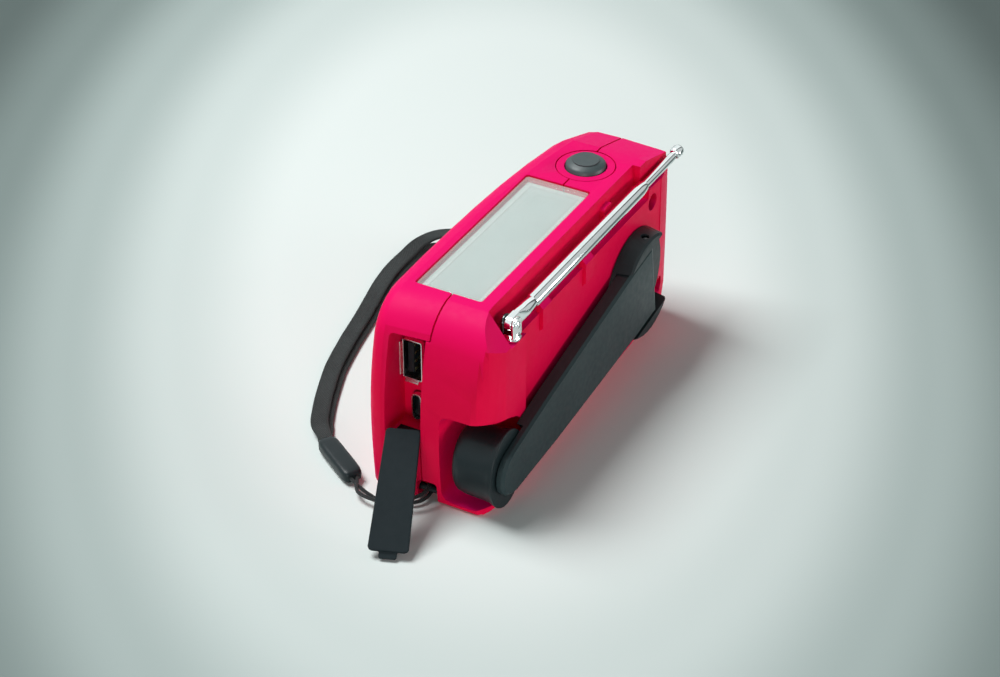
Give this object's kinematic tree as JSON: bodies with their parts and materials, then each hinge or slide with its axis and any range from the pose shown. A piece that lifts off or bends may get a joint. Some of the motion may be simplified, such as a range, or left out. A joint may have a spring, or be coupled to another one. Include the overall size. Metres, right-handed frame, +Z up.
{
  "type": "hand cranked portable radio",
  "caption": "Small hand-cranked radio and torch with solar panel, folding crank, telescopic antenna, USB sockets behind a rubber flap, and a wrist strap.",
  "frame": {"origin": "on the flat underside of the casing, in the middle of its length, beside the parting plane of its two shells", "axes": "+X along the casing towards the sockets and the strap, +Y out of the back with the crank, +Z up out of the top with the solar panel and button"},
  "size_m": [0.1507, 0.0941, 0.0623],
  "materials": {
    "casing_pink": "smooth satin, bright pink",
    "plain_steel": "plain",
    "clear_cover": "clear moulded plastic",
    "cell_silver": "silvery grey",
    "button_rubber": "matt, dark grey-green",
    "black_plastic": "satin, black with a blue-green cast",
    "reflector_chrome": "mirror bright",
    "board_green": "lacquered board",
    "led_white": "clear to milky",
    "cone_paper": "pressed paper",
    "dial_grey": "plain dark grey",
    "led_red": "tinted clear",
    "battery_wrap": "plain wrap",
    "crank_grey": "satin, dark grey",
    "gear_nylon": "natural",
    "antenna_chrome": "polished",
    "socket_steel": "tinned, bright",
    "flap_rubber": "matt black",
    "strap_fabric": "black woven"
  },
  "bodies": {
    "case": {"front_shell": "casing_pink", "rear_shell": "casing_pink", "button_ring": "casing_pink", "case_screw_1": "plain_steel", "case_screw_2": "plain_steel", "case_screw_3": "plain_steel", "solar_cover": "clear_cover", "solar_cell": "cell_silver", "button_switch": "black_plastic", "torch_lens": "clear_cover", "torch_reflector": "reflector_chrome", "torch_board": "board_green", "torch_diode_1": "led_white", "torch_diode_2": "led_white", "torch_diode_3": "led_white", "speaker_basket": "plain_steel", "speaker_cone": "cone_paper", "speaker_magnet": "plain_steel", "dial_plate": "dial_grey", "tuning_capacitor": "black_plastic", "volume_control": "black_plastic", "switch_body": "plain_steel", "charge_light": "led_red", "circuit_board": "board_green", "battery_holder": "black_plastic", "battery_cell": "battery_wrap", "generator_can": "plain_steel", "gear_plate": "plain_steel", "usb_a_shell": "socket_steel", "usb_a_tongue": "black_plastic", "usb_c_shell": "socket_steel", "usb_c_tongue": "black_plastic", "flap_root": "flap_rubber", "lanyard_pin": "black_plastic", "strap_bead": "black_plastic", "strap_cord": "strap_fabric", "strap_webbing": "strap_fabric"},
    "crank": {"crank_hub": "black_plastic", "drive_gear": "gear_nylon", "hub_screw": "plain_steel", "arm_pin": "plain_steel"},
    "arm": {"crank_arm": "crank_grey", "knob_axle": "plain_steel"},
    "knob": {"crank_knob": "black_plastic"},
    "middle_gear": {"middle_gear": "gear_nylon"},
    "generator_rotor": {"generator_rotor": "plain_steel"},
    "torch_button": {"torch_button": "button_rubber"},
    "port_flap": {"port_flap": "flap_rubber"},
    "tuning_knob": {"tuning_knob": "black_plastic"},
    "volume_knob": {"volume_knob": "black_plastic"},
    "band_switch": {"band_switch": "black_plastic"},
    "antenna_base": {"antenna_post": "antenna_chrome", "antenna_pin": "antenna_chrome"},
    "antenna_tube": {"antenna_tube": "antenna_chrome"},
    "antenna_middle": {"antenna_middle": "antenna_chrome"},
    "antenna_rod": {"antenna_rod": "antenna_chrome"}
  },
  "joints": [
    {"name": "crank_turn", "type": "hinge", "parent": "case", "child": "crank", "pos_m": [-0.0302, 0.0184, 0.0274], "axis": [0, -1, 0], "range_deg": [0, 1.4]},
    {"name": "arm_fold", "type": "hinge", "parent": "crank", "child": "arm", "pos_m": [-0.03316, 0.0223, 0.02787], "axis": [0.157, 0, 0.9876], "range_deg": [0, 180]},
    {"name": "knob_spin", "type": "hinge", "parent": "arm", "child": "knob", "pos_m": [0.0516, 0.0151, 0.0144], "axis": [0, 1, 0], "continuous": true},
    {"name": "middle_gear_spin", "type": "hinge", "parent": "case", "child": "middle_gear", "pos_m": [-0.01329, 0.012, 0.03356], "axis": [0, -1, 0], "range_deg": [-5, 1]},
    {"name": "rotor_spin", "type": "hinge", "parent": "case", "child": "generator_rotor", "pos_m": [0.00035, 0.006, 0.02401], "axis": [0, -1, 0], "range_deg": [-1, 14]},
    {"name": "button_press", "type": "slide", "parent": "case", "child": "torch_button", "axis": [0, 0, -1], "range_m": [0, 0.001], "stiffness_N_per_m": 400, "springref_m": -0.0005},
    {"name": "flap_swing", "type": "hinge", "parent": "case", "child": "port_flap", "pos_m": [0.0601, -0.0058, 0.0238], "axis": [0.3502, -0.9367, 0], "range_deg": [0, 100]},
    {"name": "tuning_turn", "type": "hinge", "parent": "case", "child": "tuning_knob", "pos_m": [0.024, -0.018, 0.035], "axis": [0, 1, 0], "range_deg": [-135, 135]},
    {"name": "volume_turn", "type": "hinge", "parent": "case", "child": "volume_knob", "pos_m": [0.008, -0.018, 0.0115], "axis": [0, 1, 0], "range_deg": [-135, 135]},
    {"name": "band_slide", "type": "slide", "parent": "case", "child": "band_switch", "axis": [1, 0, 0], "range_m": [0, 0.003]},
    {"name": "antenna_swivel", "type": "hinge", "parent": "case", "child": "antenna_base", "pos_m": [0.0414, 0.0173, 0.05], "axis": [0, 0, -1], "range_deg": [0, 110]},
    {"name": "antenna_lift", "type": "hinge", "parent": "antenna_base", "child": "antenna_tube", "pos_m": [0.0414, 0.0173, 0.0549], "axis": [0, 1, 0], "range_deg": [0, 90]},
    {"name": "antenna_draw_middle", "type": "slide", "parent": "antenna_tube", "child": "antenna_middle", "axis": [-1, 0, 0], "range_m": [0, 0.053]},
    {"name": "antenna_draw_rod", "type": "slide", "parent": "antenna_middle", "child": "antenna_rod", "axis": [-1, 0, 0], "range_m": [0, 0.062]}
  ],
  "couplings": [
    {"joint": "middle_gear_spin", "follows": "crank_turn", "ratio": -3},
    {"joint": "rotor_spin", "follows": "crank_turn", "ratio": 9.3333}
  ]
}
